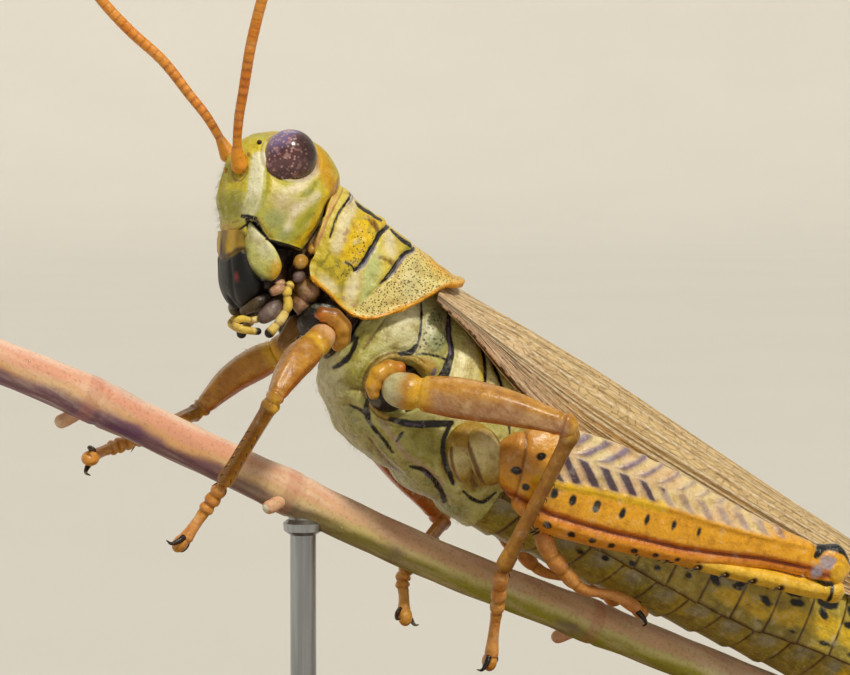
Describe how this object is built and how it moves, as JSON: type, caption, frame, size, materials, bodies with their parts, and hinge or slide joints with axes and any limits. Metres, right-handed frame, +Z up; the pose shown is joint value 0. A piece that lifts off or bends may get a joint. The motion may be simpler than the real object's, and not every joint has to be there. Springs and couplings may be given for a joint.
{
  "type": "grasshopper",
  "caption": "Adult female grasshopper with raised head and folded wings, gripping a short cut stem that upright rods hold over a flat rounded base.",
  "frame": {"origin": "centre of the flat underside of the stand's base", "axes": "+Z up; +X along the base from the insect's head towards its tail, so the head points to -X; the insect's left side faces -Y"},
  "size_m": [0.06, 0.036, 0.0519],
  "materials": {
    "head_cuticle": "waxy yellow-green insect shell, paler on the cheeks, low sheen",
    "eye": "dark red-brown compound eye with pale speckles, glossy",
    "antenna": "orange, finely ringed",
    "mouthparts": "black-brown lip and inner mouthparts, glossy",
    "palp": "pale yellow feelers with dark tips",
    "pronotum": "bright yellow pitted shield with black grooves",
    "neck_membrane": "soft brown neck membrane",
    "thorax": "pale yellow-green plates with black seams, low sheen",
    "abdomen": "olive-yellow rings with dark borders",
    "wing": "straw brown leathery forewing with fine dark veins",
    "leg": "amber-orange shell, low sheen",
    "hind_femur": "cream and orange thigh with dark herringbone bars",
    "stem": "green stem flushed pink on its upper side",
    "stand_wood": "dark satin hardwood",
    "stand_steel": "brushed steel rod"
  },
  "bodies": {
    "root": {"head": "head_cuticle", "eye_left": "eye", "eye_right": "eye", "antenna_left": "antenna", "antenna_right": "antenna", "labrum": "mouthparts", "mandible_left": "head_cuticle", "mandible_right": "head_cuticle", "maxillae": "mouthparts", "maxillary_palp_left": "palp", "maxillary_palp_right": "palp", "labial_palp_left": "palp", "labial_palp_right": "palp", "pronotum": "pronotum", "prothorax": "neck_membrane", "thorax": "thorax", "abdomen": "abdomen", "ovipositor": "abdomen", "tegmen_left": "wing", "tegmen_right": "wing", "fore_left_coxa": "leg", "fore_left_femur": "leg", "fore_left_tibia": "leg", "fore_left_tarsus": "leg", "fore_right_coxa": "leg", "fore_right_femur": "leg", "fore_right_tibia": "leg", "fore_right_tarsus": "leg", "mid_left_coxa": "leg", "mid_left_femur": "leg", "mid_left_tibia": "leg", "mid_left_tarsus": "leg", "mid_right_coxa": "leg", "mid_right_femur": "leg", "mid_right_tibia": "leg", "mid_right_tarsus": "leg", "hind_left_coxa": "leg", "hind_left_femur": "hind_femur", "hind_left_tibia": "leg", "hind_left_tarsus": "leg", "hind_right_coxa": "leg", "hind_right_femur": "hind_femur", "hind_right_tibia": "leg", "hind_right_tarsus": "leg", "perch_stem": "stem", "stand_base": "stand_wood", "stand_rod_front": "stand_steel", "stand_rod_rear": "stand_steel"}
  },
  "joints": []
}
